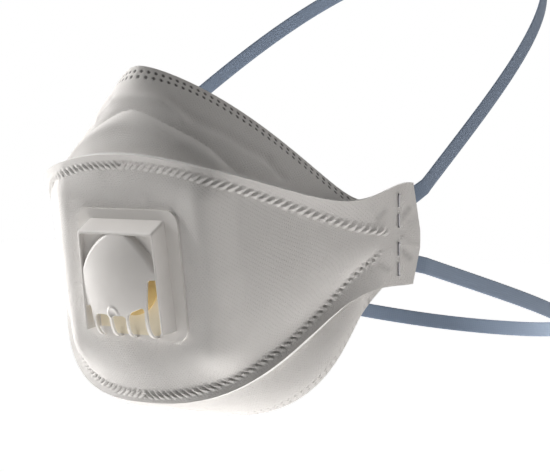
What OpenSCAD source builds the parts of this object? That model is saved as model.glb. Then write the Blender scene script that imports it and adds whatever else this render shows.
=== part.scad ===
// Disposable dust mask: three fabric panels, an exhalation valve and two stapled headbands.
// X runs across the face, Y towards the back of the head and Z up.
// The origin is the middle of the face opening, level with the front of the tabs' ends.

/* [Mask body] */
// Width across the ends of the two tabs
mask_w = 161; // [145:1:194]
// Depth from the tabs' ends to the front of the upper seam
mask_d = 70; // [58:1:84]
// Height between the lower and the upper seam at the front
panel_h = 83; // [69:1:100]
// Thickness of the outer cover web
outer_cover_t = 0.3; // [0.2:0.05:0.4]
// Thickness of the filter web
filter_t = 0.5; // [0.4:0.05:0.7]
// Thickness of the stiffener web behind the centre panel's filter
stiffener_t = 0.25; // [0.2:0.05:0.4]
// Thickness of the inner cover web
inner_cover_t = 0.25; // [0.2:0.05:0.4]
// Gap between the back of the centre panel and the panels welded behind it
seam_gap = 0.15; // [0.05:0.05:0.4]

/* [Nose clip and foam] */
// Thickness of the malleable aluminium strip
clip_t = 0.8; // [0.6:0.1:1]
// Thickness of the nose foam
foam_t = 4; // [3:0.5:6]

/* [Exhalation valve] */
// Width of the valve seat's flange
seat_w = 48; // [38:1:50]
// Height of the valve seat's flange
seat_h = 47; // [39:1:50]
// Thickness of the flange
seat_t = 1.2; // [1:0.1:1.5]
// Corner radius of the flange
seat_r = 5; // [3:0.5:7]
// Gap of the weld film between the flange and the outer cover
weld_gap = 0.05; // [0.02:0.01:0.1]
// Sideways place of the valve, from the middle of the mask
valve_x = 1; // [-2:0.5:2]
// Backwards lean of the valve from upright, in degrees
valve_lean = 8; // [4:1:12]
// Width of the hood at its foot
hood_w = 38; // [34:0.5:39]
// Height that the hood stands above the flange
hood_rise = 7.1; // [7:0.1:9]
// Wall of the hood
hood_wall = 1.1; // [0.8:0.1:1.4]
// Width of the dome inside the hood
dome_w = 35.5; // [31:0.5:36]
// Width of the flap
flap_w = 27; // [17:0.5:28]
// Length of the flap below its clamped root
flap_l = 27.5; // [20:0.5:28]
// Thickness of the flap
flap_t = 0.4; // [0.3:0.05:0.6]
// Height of the seal ridge and the root ledge above the flange
ridge_h = 0.8; // [0.6:0.1:1]
// Running gap between the flap and its neighbours
flap_gap = 0.1; // [0.05:0.05:0.2]

/* [Headbands and staples] */
// Width of the elastic band
band_w = 6; // [5:0.5:7.5]
// Thickness of the elastic band
band_t = 0.8; // [0.6:0.1:1.2]
// Length that each loop reaches back from the tabs
loop_reach = 165; // [140:5:195]
// Rise of the upper loop, in degrees
upper_rise = 33; // [28:1:38]
// Drop of the lower loop, in degrees
lower_drop = 13; // [10:1:18]
// Gap between the moving loop and the tab's pieces
band_gap = 0.4; // [0.3:0.1:0.6]
// Outside length of a staple's crown
staple_w = 12; // [10:0.5:13]
// Thickness of the staple wire
wire_t = 0.5; // [0.4:0.05:0.6]
// Length of each clinched leg
leg_l = 4.8; // [4:0.2:5]

/* [Hidden] */
$fn = 48;
stretch = [mask_w / 161, mask_d / 70, panel_h / 83];

// Seam and edge curves of the right half, from the middle of the front to the tab's end,
// as control points of a Bezier curve at the nominal size.
upper_seam = [[0, -66, 34.5], [30, -66, 34.5], [46, -62.5, 27.5], [57.5, -45.5, 22],
              [67, -30, 17], [72.5, -19, 7], [76, -9.5, 12], [80.5, 4, 11]];
upper_rim = [[0, -68.5, 38], [28.5, -68.5, 38], [48.5, -62.5, 30], [62, -47.5, 31],
             [69, -31.5, 17.5], [73.5, -19.5, 14], [76, -9.5, 30], [80, 1, 28]];
lower_seam = [[0, -53, -48.5], [26, -53, -48.5], [42.5, -46, -43], [57, -33, -29.5],
              [65, -24, -12], [70, -19, 4], [74, -11.5, 5.5], [80.5, 4, 5]];
lower_rim = [[0, -53, -51.5], [28, -53, -51.5], [48.5, -45, -48], [60.5, -34.5, -30.5],
             [66, -26.5, -10.5], [72, -18, -6.5], [77.5, -8, -9.5], [80, 1, -8]];
nose_edge = [[0, -56, 69.5], [7.5, -56, 69.5], [18, -48.5, 65], [37.5, -35.5, 55],
             [57.5, -23, 37], [67.5, -17.5, 11.5], [69, -13.5, 18], [80, 1, 27.5]];
chin_edge = [[0, -27, -54.5], [10, -27, -54.5], [28.5, -34, -62], [50, -32, -54.5],
             [67.5, -22.5, -50.5], [70, -17.5, -27], [66.5, -15.5, 0], [80, 1, -7]];

// How far the panels swell outwards from the straight line between their edges
centre_swell = [5, 1];
top_swell = 2;
chin_swell = 3;
chin_sag = 4;

// Rows and columns of the panels' grids
columns = 32;
centre_rows = 10;
top_rows = 8;
chin_rows = 5;
sides = [for (i = [0:columns]) 2 * i / columns - 1];

// Vector helpers
function unit(v) = v / norm(v);
function smooth(x) = let (c = max(0, min(1, x))) c * c * (3 - 2 * c);
function choose(n, k) = k == 0 ? 1 : choose(n, k - 1) * (n - k + 1) / k;
function times(a, b) = [a.x * b.x, a.y * b.y, a.z * b.z];
function total(list, i = 0) = i == len(list) - 1 ? list[i] : list[i] + total(list, i + 1);

// Point at share s of a Bezier curve
function curve_at(points, s) =
    let (n = len(points) - 1)
    total([for (i = [0:n]) choose(n, i) * pow(s, i) * pow(1 - s, n - i) * points[i]]);

// Point of an edge curve on either side of the face: s runs from -1 on the left to 1 on the right
function edge(points, s) =
    let (p = times(curve_at(points, abs(s)), stretch))
    [s < 0 ? -p.x : p.x, p.y, p.z];

// Level direction that points away from the face, square to an edge curve
function outward(points, s) =
    let (a = min(1, abs(s) + 0.001), b = max(0, abs(s) - 0.001),
         d = times(curve_at(points, a) - curve_at(points, b), stretch),
         n = unit([d.y, -d.x, 0]))
    [s < 0 ? -n.x : n.x, n.y, 0];

function cubic(a, b, c, d, t) =
    pow(1 - t, 3) * a + 3 * t * pow(1 - t, 2) * b + 3 * t * t * (1 - t) * c + pow(t, 3) * d;

// Plane of the valve, and the flat that it needs on the centre panel
valve_at = times([0, -59.9, -4.6], stretch) + [valve_x, 0, 0];
valve_out = [0, -cos(valve_lean), -sin(valve_lean)];
valve_up = [0, -sin(valve_lean), cos(valve_lean)];
flat_margin = 6;
flat_fade = 14;

// Plane of each tab
tab_at = times([80.5, 4, 8], stretch);
tab_along = unit(times([1, 2.9, 0], stretch));
tab_out = [tab_along.y, -tab_along.x, 0];
tab_flat_from = -16;
tab_flat_to = -9;

function pull_to_plane(p, at, normal, share) = p - share * ((p - at) * normal) * normal;

// The tabs are flat, because their layers are pressed together under the staples
function flatten_tab(p) =
    let (side = p.x < 0 ? -1 : 1,
         share = smooth((p.y / stretch.y - tab_flat_from) / (tab_flat_to - tab_flat_from)))
    pull_to_plane(p, [side * tab_at.x, tab_at.y, tab_at.z], [side * tab_out.x, tab_out.y, 0], share);

// The centre panel is flat under the valve
function flatten_valve(p) =
    let (q = p - valve_at,
         dx = max(0, abs(q.x) - seat_w / 2 - flat_margin),
         dz = max(0, abs(q * valve_up) - seat_h / 2 - flat_margin / 2),
         share = 1 - smooth(norm([dx, dz]) / flat_fade))
    pull_to_plane(p, valve_at, valve_out, share);

function fade(s) = 1 - pow(abs(s), 3);

// Point of the centre panel between its seams: t runs from the lower seam to the upper one
function centre_skin(s, t) =
    let (a = edge(lower_seam, s), d = edge(upper_seam, s), n = outward(upper_seam, s) * fade(s),
         p = cubic(a, a + (d - a) / 3 + centre_swell[0] * n,
                   a + (d - a) * 2 / 3 + centre_swell[1] * n, d, t))
    flatten_tab(flatten_valve(p));

// Row of the centre panel: its first and last rows are the rims beyond the seams
function centre_point(s, row) =
    row == 0 ? flatten_tab(edge(lower_rim, s))
    : row == centre_rows ? flatten_tab(edge(upper_rim, s))
    : centre_skin(s, (row - 1) / (centre_rows - 2));

centre_grid = [for (row = [0:centre_rows]) [for (s = sides) centre_point(s, row)]];

// Outward normals at every point of a grid
function normals(grid) =
    let (m = len(grid) - 1, n = len(grid[0]) - 1)
    [for (j = [0:m]) [for (i = [0:n])
        let (across = grid[j][min(n, i + 1)] - grid[j][max(0, i - 1)],
             along = grid[min(m, j + 1)][i] - grid[max(0, j - 1)][i])
        unit(cross(across, along))]];

centre_normals = normals(centre_grid);

centre_t = outer_cover_t + filter_t + stiffener_t + inner_cover_t;
cheek_t = outer_cover_t + filter_t + inner_cover_t;
seam_step = centre_t + seam_gap;

// The panels behind the seams start at the back of the centre panel, and stay behind it at the tabs
cheek_from = 0.5;
cheek_to = 0.8;
function step_back(i, seam_row, t) =
    let (free = 1 - smooth((abs(sides[i]) - cheek_from) / (cheek_to - cheek_from)))
    -seam_step * (1 - t * free) * centre_normals[seam_row][i];

// Shares of the top panel's rows: the last ones bound the pocket of the nose clip
pocket_rows = [5, 6];
top_shares = [0, 0.2, 0.4, 0.6, 0.74, 0.8, 0.9, 0.95, 1];

function top_point(i, row) =
    let (s = sides[i], t = top_shares[row], a = edge(upper_seam, s), d = edge(nose_edge, s),
         n = outward(upper_seam, s) * fade(s),
         p = cubic(a, a + (d - a) / 3 + top_swell * n, a + (d - a) * 2 / 3 + top_swell / 2 * n, d, t))
    flatten_tab(p) + step_back(i, centre_rows - 1, t);

function chin_point(i, row) =
    let (s = sides[i], t = row / chin_rows, a = edge(lower_seam, s), d = edge(chin_edge, s),
         n = outward(lower_seam, s) * chin_swell * fade(s) - [0, 0, chin_sag * fade(s)],
         p = cubic(a, a + (d - a) / 3 + n, a + (d - a) * 2 / 3 + n, d, t))
    flatten_tab(p) + step_back(i, 1, t);

top_grid = [for (row = [0:top_rows]) [for (i = [0:columns]) top_point(i, row)]];
chin_grid = [for (row = [chin_rows:-1:0]) [for (i = [0:columns]) chin_point(i, row)]];
top_normals = normals(top_grid);
chin_normals = normals(chin_grid);

// A web of even or varying thickness: every point of the grid sinks by front[j][i] and back[j][i]
// along its normal. Only the cells from first to last are made, and those in the hole are left out.
module web(grid, normal, front, back, first = [0, 0], last = undef, hole = undef) {
    rows = len(grid);
    cols = len(grid[0]);
    end = is_undef(last) ? [cols - 2, rows - 2] : last;
    function made(i, j) =
        i >= first.x && i <= end.x && j >= first.y && j <= end.y
        && (is_undef(hole) || i < hole[0] || i > hole[1] || j < hole[2] || j > hole[3]);
    function at(i, j) = j * cols + i;
    behind = rows * cols;
    outside = [for (j = [0:rows - 1]) for (i = [0:cols - 1]) grid[j][i] - front[j][i] * normal[j][i]];
    inside = [for (j = [0:rows - 1]) for (i = [0:cols - 1]) grid[j][i] - back[j][i] * normal[j][i]];
    skins = [for (j = [0:rows - 2]) for (i = [0:cols - 2]) if (made(i, j))
        let (a = at(i, j), b = at(i + 1, j), c = at(i + 1, j + 1), d = at(i, j + 1))
        each [[a, c, b], [a, d, c],
              [a + behind, b + behind, c + behind], [a + behind, c + behind, d + behind]]];
    walls = [for (j = [0:rows - 2]) for (i = [0:cols - 2]) if (made(i, j))
        let (a = at(i, j), b = at(i + 1, j), c = at(i + 1, j + 1), d = at(i, j + 1))
        each concat(
            made(i, j - 1) ? [] : rim_wall(a, b, behind),
            made(i + 1, j) ? [] : rim_wall(b, c, behind),
            made(i, j + 1) ? [] : rim_wall(c, d, behind),
            made(i - 1, j) ? [] : rim_wall(d, a, behind))];
    polyhedron(concat(outside, inside), concat(skins, walls), convexity = 6);
}

function rim_wall(a, b, behind) = [[a, b, b + behind], [a, b + behind, a + behind]];

function even(grid, depth) = [for (row = grid) [for (p = row) depth]];

// The breathing hole under the valve, in cells of the centre panel's grid
valve_hole = [columns / 2 - 2, columns / 2 + 1, 4, 5];

// The nose clip's pocket: the top panel's inner cover steps over it
clip_columns = [columns / 2 - 6, columns / 2 + 5];
foam_columns = [columns / 2 - 7, columns / 2 + 6];
foam_rows = [4, 6];
function in_pocket(i, j) =
    i >= clip_columns[0] && i <= clip_columns[1] + 1 && j >= pocket_rows[0] && j <= pocket_rows[1];
function over_clip(depth) =
    [for (j = [0:top_rows]) [for (i = [0:columns]) depth + (in_pocket(i, j) ? clip_t : 0)]];

module centre_panel_outer_cover() {
    color("#e8e6e3")
    web(centre_grid, centre_normals, even(centre_grid, 0), even(centre_grid, outer_cover_t),
        hole = valve_hole);
}

module centre_panel_filter() {
    color("#f4f4f2")
    web(centre_grid, centre_normals, even(centre_grid, outer_cover_t),
        even(centre_grid, outer_cover_t + filter_t), hole = valve_hole);
}

module centre_panel_stiffener() {
    color("#dcdcda")
    web(centre_grid, centre_normals, even(centre_grid, outer_cover_t + filter_t),
        even(centre_grid, outer_cover_t + filter_t + stiffener_t), hole = valve_hole);
}

module centre_panel_inner_cover() {
    color("#efeeec")
    web(centre_grid, centre_normals, even(centre_grid, outer_cover_t + filter_t + stiffener_t),
        even(centre_grid, centre_t), hole = valve_hole);
}

module top_panel_outer_cover() {
    color("#e2e0dd")
    web(top_grid, top_normals, even(top_grid, 0), even(top_grid, outer_cover_t));
}

module top_panel_filter() {
    color("#f4f4f2")
    web(top_grid, top_normals, even(top_grid, outer_cover_t), even(top_grid, outer_cover_t + filter_t));
}

module top_panel_inner_cover() {
    color("#efeeec")
    web(top_grid, top_normals, over_clip(outer_cover_t + filter_t), over_clip(cheek_t));
}

module bottom_panel_outer_cover() {
    color("#e2e0dd")
    web(chin_grid, chin_normals, even(chin_grid, 0), even(chin_grid, outer_cover_t));
}

module bottom_panel_filter() {
    color("#f4f4f2")
    web(chin_grid, chin_normals, even(chin_grid, outer_cover_t), even(chin_grid, outer_cover_t + filter_t));
}

module bottom_panel_inner_cover() {
    color("#efeeec")
    web(chin_grid, chin_normals, even(chin_grid, outer_cover_t + filter_t), even(chin_grid, cheek_t));
}

module nose_clip() {
    color("silver")
    web(top_grid, top_normals, even(top_grid, outer_cover_t + filter_t),
        over_clip(outer_cover_t + filter_t),
        first = [clip_columns[0], pocket_rows[0]], last = [clip_columns[1], pocket_rows[0]]);
}

module nose_foam() {
    color("#b9bcc0")
    web(top_grid, top_normals, over_clip(cheek_t), even(top_grid, cheek_t + clip_t + foam_t),
        first = [foam_columns[0], foam_rows[0]], last = [foam_columns[1], foam_rows[1]]);
}

// Places its children on the valve's plane: X across, Y up along the panel, Z away from the face
module on_valve() {
    translate(valve_at + weld_gap * valve_out) rotate([90 + valve_lean, 0, 0]) children();
}

module rounded_plate(w, h, t, r) {
    linear_extrude(t) union() {
        square([w - 2 * r, h], center = true);
        square([w, h - 2 * r], center = true);
        for (x = [-1, 1], y = [-1, 1]) translate([x * (w / 2 - r), y * (h / 2 - r)]) circle(r);
    }
}

// Places along the valve's height, from the middle of the flange
hood_top = seat_h / 2 - 3.6;
hood_bottom = -seat_h / 2 + 3.8;
hood_slope = 3.5;
hood_r = 0.8;
hood_recess = 2;
hood_taper = 1;
hinge_y = hood_top - hood_wall - 6;
root_l = 4;
root_y = hinge_y + flap_gap + root_l / 2;
flap_z = seat_t + ridge_h + flap_gap;
port_margin = 2;
port_w = flap_w - 2 * port_margin;
port_top = hinge_y - port_margin;
port_bottom = hinge_y - flap_l + port_margin;
spoke_t = 1.2;
pin_r = 0.7;
pin_x = flap_w / 2 - 2;
pin_hole_gap = 0.1;

ridge_w = 0.9;

// The flap's outline: straight sides and a round lower end
module flap_shape(inset) {
    round_y = hinge_y - flap_l + flap_w / 2;
    intersection() {
        union() {
            translate([0, (hinge_y - inset + round_y) / 2])
            square([flap_w - 2 * inset, hinge_y - inset - round_y], center = true);
            translate([0, round_y]) circle(r = flap_w / 2 - inset);
        }
        translate([0, hinge_y - inset - flap_l / 2]) square([flap_w, flap_l], center = true);
    }
}

module valve_seat() {
    color("white") on_valve() {
        difference() {
            union() {
                rounded_plate(seat_w, seat_h, seat_t, seat_r);
                linear_extrude(seat_t + ridge_h) flap_shape(port_margin - ridge_w);
            }
            translate([0, 0, -1]) linear_extrude(seat_t + ridge_h + 2) flap_shape(port_margin);
        }
        // Cross that keeps the flap from being drawn in
        for (a = [0, 1]) {
            size = a == 0 ? [port_w + 1, spoke_t] : [spoke_t, port_top - port_bottom + 1];
            translate([-size.x / 2, (port_top + port_bottom) / 2 - size.y / 2, 0])
            cube([size.x, size.y, seat_t + ridge_h]);
        }
        // Ledge and pins that hold the flap's root
        translate([-flap_w / 2, root_y - root_l / 2, 0]) cube([flap_w, root_l, flap_z]);
        for (x = [-pin_x, pin_x]) translate([x, root_y, 0]) cylinder(r = pin_r, h = flap_z + flap_t + 0.5);
    }
}

module flap_root() {
    color("#d9b46a") on_valve() difference() {
        translate([-flap_w / 2, root_y - root_l / 2, flap_z]) cube([flap_w, root_l, flap_t]);
        for (x = [-pin_x, pin_x]) translate([x, root_y, flap_z - 1])
            cylinder(r = pin_r + pin_hole_gap, h = flap_t + 2);
    }
}

module valve_flap() {
    color("#d9b46a") on_valve()
    translate([0, 0, flap_z]) linear_extrude(flap_t) flap_shape(0);
}

// Places of the dome: its foot, its widest place, its head and where the hood's top cuts it off
dome_foot = -seat_h / 2 + 1.5;
dome_mid = -0.2;
dome_head = hood_top - 2.1;
dome_stop = hood_top - hood_slope - 0.6;
dome_across_r = 56;
dome_along_r = 36;
dome_crown_y = 2;
dome_proud = 2.6;
foot_from = 4;
skin_t = 1;
louvres = 4;
louvre_rib = 1;
louvre_low = 8;
louvre_tall = 21.5;

// Half width of the dome's outline at y: straight up to its widest place, then egg-shaped
function dome_half(y, grow) =
    let (t = max(0, (y - dome_mid) / (dome_head + grow - dome_mid)))
    (dome_w / 2 + grow) * pow(max(0, 1 - pow(t, 1.5)), 2 / 3);

module dome_outline(grow) {
    steps = 14;
    reach = dome_head + grow - dome_mid;
    last = asin((dome_stop + grow - dome_mid) / reach);
    ys = [for (k = [0:steps]) dome_mid + reach * sin(last * k / steps)];
    polygon(concat([[-dome_half(dome_mid, grow), dome_foot - grow],
                    [dome_half(dome_mid, grow), dome_foot - grow]],
                   [for (k = [0:steps]) [dome_half(ys[k], grow), ys[k]]],
                   [for (k = [steps:-1:0]) [-dome_half(ys[k], grow), ys[k]]]));
}

// Barrel whose skin crowns at the height h above the flange, less the inset
module dome_barrel(h, inset) {
    translate([0, dome_crown_y, seat_t + h - dome_along_r])
    rotate([0, 90, 0])
    rotate_extrude($fn = 96)
    intersection() {
        translate([dome_along_r - dome_across_r, 0]) circle(dome_across_r - inset);
        translate([0, -dome_w]) square([2 * dome_along_r, 2 * dome_w]);
    }
}

// The hood's sides lean in by its taper from the bottom to the top
side_lean = atan2(hood_taper, hood_top - hood_bottom);

function hood_half(y, inset) =
    hood_w / 2 - (y - hood_bottom) * tan(side_lean) - inset / cos(side_lean);

module hood_outline(inset) {
    r = max(0.5, hood_r - inset);
    top = hood_top - inset - r;
    low = hood_bottom + inset + r;
    top_x = hood_half(top, inset + r);
    low_x = hood_half(low, inset + r);
    out = [r * cos(side_lean), r * sin(side_lean)];
    right = [[low_x, low - r], [low_x + out.x, low + out.y], [top_x + out.x, top + out.y], [top_x, top + r]];
    polygon(concat(right, [for (k = [3:-1:0]) [-right[k].x, right[k].y]]));
    for (x = [-1, 1]) {
        translate([x * top_x, top]) circle(r);
        translate([x * low_x, low]) circle(r);
    }
}

module hood_block(inset, rise) {
    translate([0, 0, seat_t]) linear_extrude(rise) hood_outline(inset);
}

// All that lies above the slope of the hood's top, moved down by the inset
module above_slope(inset) {
    translate([-hood_w, hood_top - inset, seat_t])
    rotate([atan2(hood_slope, hood_rise), 0, 0])
    cube([2 * hood_w, 2 * hood_rise, 2 * hood_rise]);
}

// The dome's room: its skin reaches the flange only below foot_from, clear of the flap's root
module dome_room(grow, start) {
    translate([0, 0, start]) linear_extrude(2 * hood_rise) dome_outline(grow);
    intersection() {
        translate([0, 0, seat_t]) linear_extrude(2 * hood_rise) dome_outline(grow);
        translate([-hood_w, dome_foot - 2, 0]) cube([2 * hood_w, foot_from + 2 - dome_foot, 2 * hood_rise]);
    }
}

module valve_cover() {
    floor_z = seat_t + hood_rise - hood_recess;
    crown = hood_rise + dome_proud;
    color("white") on_valve() {
        difference() {
            hood_block(0, hood_rise);
            // Air room behind the floor, and the open front in front of it, both under the sloping top
            difference() {
                union() {
                    translate([0, 0, -0.01]) hood_block(hood_wall, floor_z - seat_t - skin_t + 0.01);
                    translate([0, 0, floor_z - seat_t]) hood_block(hood_wall, hood_rise);
                }
                above_slope(hood_wall);
            }
            above_slope(0);
            // The bottom is open
            translate([-dome_w / 2, hood_bottom - 1, seat_t - 0.01])
            cube([dome_w, 1 + 2 * hood_wall, 2 * hood_rise]);
            // The dome stands in a hole of the floor
            translate([0, 0, seat_t - 0.01]) linear_extrude(hood_rise) dome_outline(-0.5);
        }
        difference() {
            intersection() {
                dome_room(0, floor_z - skin_t);
                dome_barrel(crown, 0);
            }
            intersection() {
                translate([0, 0, seat_t - 1]) linear_extrude(crown + 2) dome_outline(-skin_t);
                dome_barrel(crown, skin_t);
            }
            // Louvre windows round the dome's foot
            for (k = [0:louvres - 1]) {
                pitch = (dome_w + 1) / louvres;
                tall = k == louvres - 1 ? louvre_tall : louvre_low;
                translate([-dome_w / 2 - 0.5 + k * pitch + louvre_rib / 2, dome_foot - 1, seat_t])
                cube([pitch - louvre_rib, tall + 1, 2 * hood_rise]);
            }
        }
        // Bar that presses the flap's root on its ledge
        bar_z = flap_z + flap_t;
        translate([-flap_w / 2 + 5, root_y - 1, bar_z]) cube([flap_w - 10, 2, floor_z - bar_z - 0.2]);
    }
}

// Places its children on a tab: X along the tab to its end, Y up and Z away from the face,
// with the origin at the end of the tab, at the outer cover's face
module on_tab(side) {
    mirror([side < 0 ? 1 : 0, 0, 0])
    multmatrix([[tab_along.x, 0, tab_out.x, tab_at.x],
                [tab_along.y, 0, tab_out.y, tab_at.y],
                [0, 1, 0, 0],
                [0, 0, 0, 1]])
    children();
}

// Height of each band where it lies under its staple, and the staple's distance from the tab's end
staple_in = 9.3;
upper_staple_z = 18.2 * stretch.z;
lower_staple_z = 1 * stretch.z;
stack_t = seam_step + cheek_t;
end_gap = 0.1;
band_root_l = 2.7;
band_past_tab = 1;

// A band leaves the tab in the plane of its loop: its angle on the tab, and its fixed end's reach
// from the staple
function band_angle(rise) = atan(tan(rise) * tab_along.y);
function band_reach(rise) = (staple_in + band_past_tab) / cos(band_angle(rise));

// Each loop swings about a level line just past the fixed ends of its band
function swing_reach(rise) = band_reach(rise) + band_gap + band_w / 2;
function swing_y(rise) =
    tab_at.y + (swing_reach(rise) * cos(band_angle(rise)) - staple_in) * tab_along.y;
function swing_z(staple_z, rise) = staple_z + swing_reach(rise) * sin(band_angle(rise));

// Fixed end of a band, flat on the back of the tab under its staple
module band_end(side, staple_z, rise) {
    color("#71839a")
    on_tab(side)
    translate([-staple_in, staple_z, -stack_t - end_gap - band_t])
    rotate([0, 0, band_angle(rise)])
    translate([-band_root_l, -band_w / 2, 0])
    cube([band_root_l + band_reach(rise), band_w, band_t]);
}

// A staple: its crown lies on the band, and its legs go through the tab and fold on the outer cover
module staple(side, staple_z) {
    back = -stack_t - end_gap - band_t - wire_t;
    color("#8d9096")
    on_tab(side)
    translate([-staple_in, staple_z, 0]) {
        translate([-wire_t / 2, -staple_w / 2, back]) cube([wire_t, staple_w, wire_t]);
        for (y = [-1, 1]) {
            translate([-wire_t / 2, y * (staple_w - wire_t) / 2 - wire_t / 2, back])
            cube([wire_t, wire_t, wire_t - back + wire_t]);
            translate([-wire_t / 2, y > 0 ? staple_w / 2 - leg_l : -staple_w / 2, 0.05])
            cube([wire_t, leg_l, wire_t]);
        }
    }
}

// Middle of the band at the swing line
swing_x = tab_at.x + (band_past_tab + band_gap + band_w / 2) * tab_along.x
    - (stack_t + end_gap + band_t / 2) * tab_along.y;

// Half of a loop in its own plane, from the tab to the back of the head
loop_points = 22;
function loop_half() =
    [for (k = [0:loop_points])
        cubic([swing_x, 0], [swing_x * 0.91, loop_reach * 0.45], [swing_x * 0.88, loop_reach],
              [0, loop_reach], k / loop_points)];

// A headband loop: a flat elastic band on edge, round the head from tab to tab.
// Its ends are round about the swing line, so that they turn clear of the fixed ends.
module loop(staple_z, rise) {
    half = loop_half();
    path = concat(half, [for (k = [loop_points - 1:-1:0]) [-half[k].x, half[k].y]]);
    last = len(path) - 1;
    function across(k) =
        let (d = path[min(last, k + 1)] - path[max(0, k - 1)])
        k == 0 ? [1, 0] : k == last ? [-1, 0] : [d.y, -d.x] / norm(d);
    color("#71839a")
    translate([0, swing_y(rise), swing_z(staple_z, rise)])
    rotate([rise, 0, 0]) {
        translate([0, 0, -band_w / 2])
        linear_extrude(band_w)
        polygon(concat([for (k = [0:last]) path[k] + band_t / 2 * across(k)],
                       [for (k = [last:-1:0]) path[k] - band_t / 2 * across(k)]));
        for (x = [-swing_x, swing_x])
            translate([x - band_t / 2, 0, 0]) rotate([0, 90, 0]) cylinder(d = band_w, h = band_t);
    }
}

// The wearer's left is towards +X
centre_panel_outer_cover();
centre_panel_filter();
centre_panel_stiffener();
centre_panel_inner_cover();
top_panel_outer_cover();
top_panel_filter();
top_panel_inner_cover();
bottom_panel_outer_cover();
bottom_panel_filter();
bottom_panel_inner_cover();
nose_clip();
nose_foam();
valve_seat();
valve_cover();
flap_root();
valve_flap();
band_end(1, upper_staple_z, upper_rise);  // upper_left_band_end
band_end(-1, upper_staple_z, upper_rise);  // upper_right_band_end
band_end(1, lower_staple_z, -lower_drop);  // lower_left_band_end
band_end(-1, lower_staple_z, -lower_drop);  // lower_right_band_end
staple(1, upper_staple_z);  // upper_left_staple
staple(-1, upper_staple_z);  // upper_right_staple
staple(1, lower_staple_z);  // lower_left_staple
staple(-1, lower_staple_z);  // lower_right_staple
loop(upper_staple_z, upper_rise);  // upper_headband
loop(lower_staple_z, -lower_drop);  // lower_headband
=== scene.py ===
"""Disposable dust mask: three welded web panels with an exhalation valve, a nose foam and two headbands.

X points to the wearer's left, Y towards the face and Z up. The shape functions work in
millimetres; a mesh is scaled to metres when it is made.
"""
import math

import bpy
import numpy as np
from mathutils import Matrix, Vector


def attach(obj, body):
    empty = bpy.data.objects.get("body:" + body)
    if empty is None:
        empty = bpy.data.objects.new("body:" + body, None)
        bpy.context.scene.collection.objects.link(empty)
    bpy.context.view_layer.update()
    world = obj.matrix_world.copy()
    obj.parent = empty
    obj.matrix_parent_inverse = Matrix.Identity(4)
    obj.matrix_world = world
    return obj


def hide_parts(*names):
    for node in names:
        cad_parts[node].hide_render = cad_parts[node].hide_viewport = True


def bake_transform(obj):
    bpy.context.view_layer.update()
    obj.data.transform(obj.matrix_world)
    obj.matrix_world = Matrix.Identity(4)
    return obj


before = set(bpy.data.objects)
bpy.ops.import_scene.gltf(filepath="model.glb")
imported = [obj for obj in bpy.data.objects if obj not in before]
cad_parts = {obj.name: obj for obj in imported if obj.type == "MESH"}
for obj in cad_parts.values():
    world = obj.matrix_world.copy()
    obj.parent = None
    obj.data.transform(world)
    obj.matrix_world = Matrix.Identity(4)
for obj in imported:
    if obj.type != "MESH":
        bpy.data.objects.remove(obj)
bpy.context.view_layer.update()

MM = 0.001
STAGE = bpy.context.scene

# ---------------------------------------------------------------- camera and light


def axes_of(azimuth, elevation):
    """Right, up and back unit vectors of a camera that looks at the origin from a direction."""
    a, e = math.radians(azimuth), math.radians(elevation)
    back = Vector((math.sin(a) * math.cos(e), -math.cos(a) * math.cos(e), math.sin(e)))
    right = Vector((math.cos(a), math.sin(a), 0))
    return right, back.cross(right), back


def aimed(thing, place, azimuth, elevation):
    """Puts an object at a place, with its -Z axis looking from that direction."""
    right, up, back = axes_of(azimuth, elevation)
    turn = Matrix((right, up, back)).transposed().to_4x4()
    thing.matrix_world = Matrix.Translation(place) @ turn
    STAGE.collection.objects.link(thing)
    return thing


VIEW_AZIMUTH, VIEW_ELEVATION, VIEW_DISTANCE = 40, 3, 1.0
right, up, back = axes_of(VIEW_AZIMUTH, VIEW_ELEVATION)
lens = bpy.data.cameras.new("camera")
lens.sensor_width = 36
lens.lens = 184.6
middle = Vector((0.035, -0.040, 0)) + 0.01142 * right + 0.00915 * up
camera = aimed(bpy.data.objects.new("camera", lens), middle + VIEW_DISTANCE * back,
               VIEW_AZIMUTH, VIEW_ELEVATION)
STAGE.camera = camera
STAGE.view_settings.view_transform = "Standard"


def soft_box(name, azimuth, elevation, distance, size, power, tint):
    """A square area lamp that shines on the middle of the mask from a direction."""
    lamp = bpy.data.lights.new(name, "AREA")
    lamp.shape = "SQUARE"
    lamp.size, lamp.energy, lamp.color = size, power, tint
    box = aimed(bpy.data.objects.new(name, lamp),
                Vector((0, 0, 0.01)) + distance * axes_of(azimuth, elevation)[2], azimuth, elevation)
    box.visible_camera = False


soft_box("key_lamp", -75, 25, 1.2, 0.6, 15.0, (1.0, 0.98, 0.965))
soft_box("left_lamp", -95, -5, 1.2, 0.8, 12.0, (1.0, 0.98, 0.965))
soft_box("side_lamp", 105, -8, 1.5, 1.0, 5.5, (1.0, 0.965, 0.945))
soft_box("right_lamp", 125, -30, 1.2, 0.6, 10.0, (1.0, 0.965, 0.945))
soft_box("under_lamp", 40, -78, 0.4, 0.5, 1.5, (1.0, 0.975, 0.955))
soft_box("top_lamp", 40, 75, 1.0, 0.6, 1.8, (1.0, 0.98, 0.965))


def seen_rays(tree):
    """1 for the rays that show the backdrop: from the camera, in a gloss and through glass."""
    path = tree.nodes.new("ShaderNodeLightPath")
    total = None
    for name in ("Is Camera Ray", "Is Glossy Ray", "Is Transmission Ray"):
        if total is None:
            total = path.outputs[name]
            continue
        both = tree.nodes.new("ShaderNodeMath")
        both.operation = "MAXIMUM"
        tree.links.new(total, both.inputs[0])
        tree.links.new(path.outputs[name], both.inputs[1])
        total = both.outputs[0]
    return total


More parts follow.
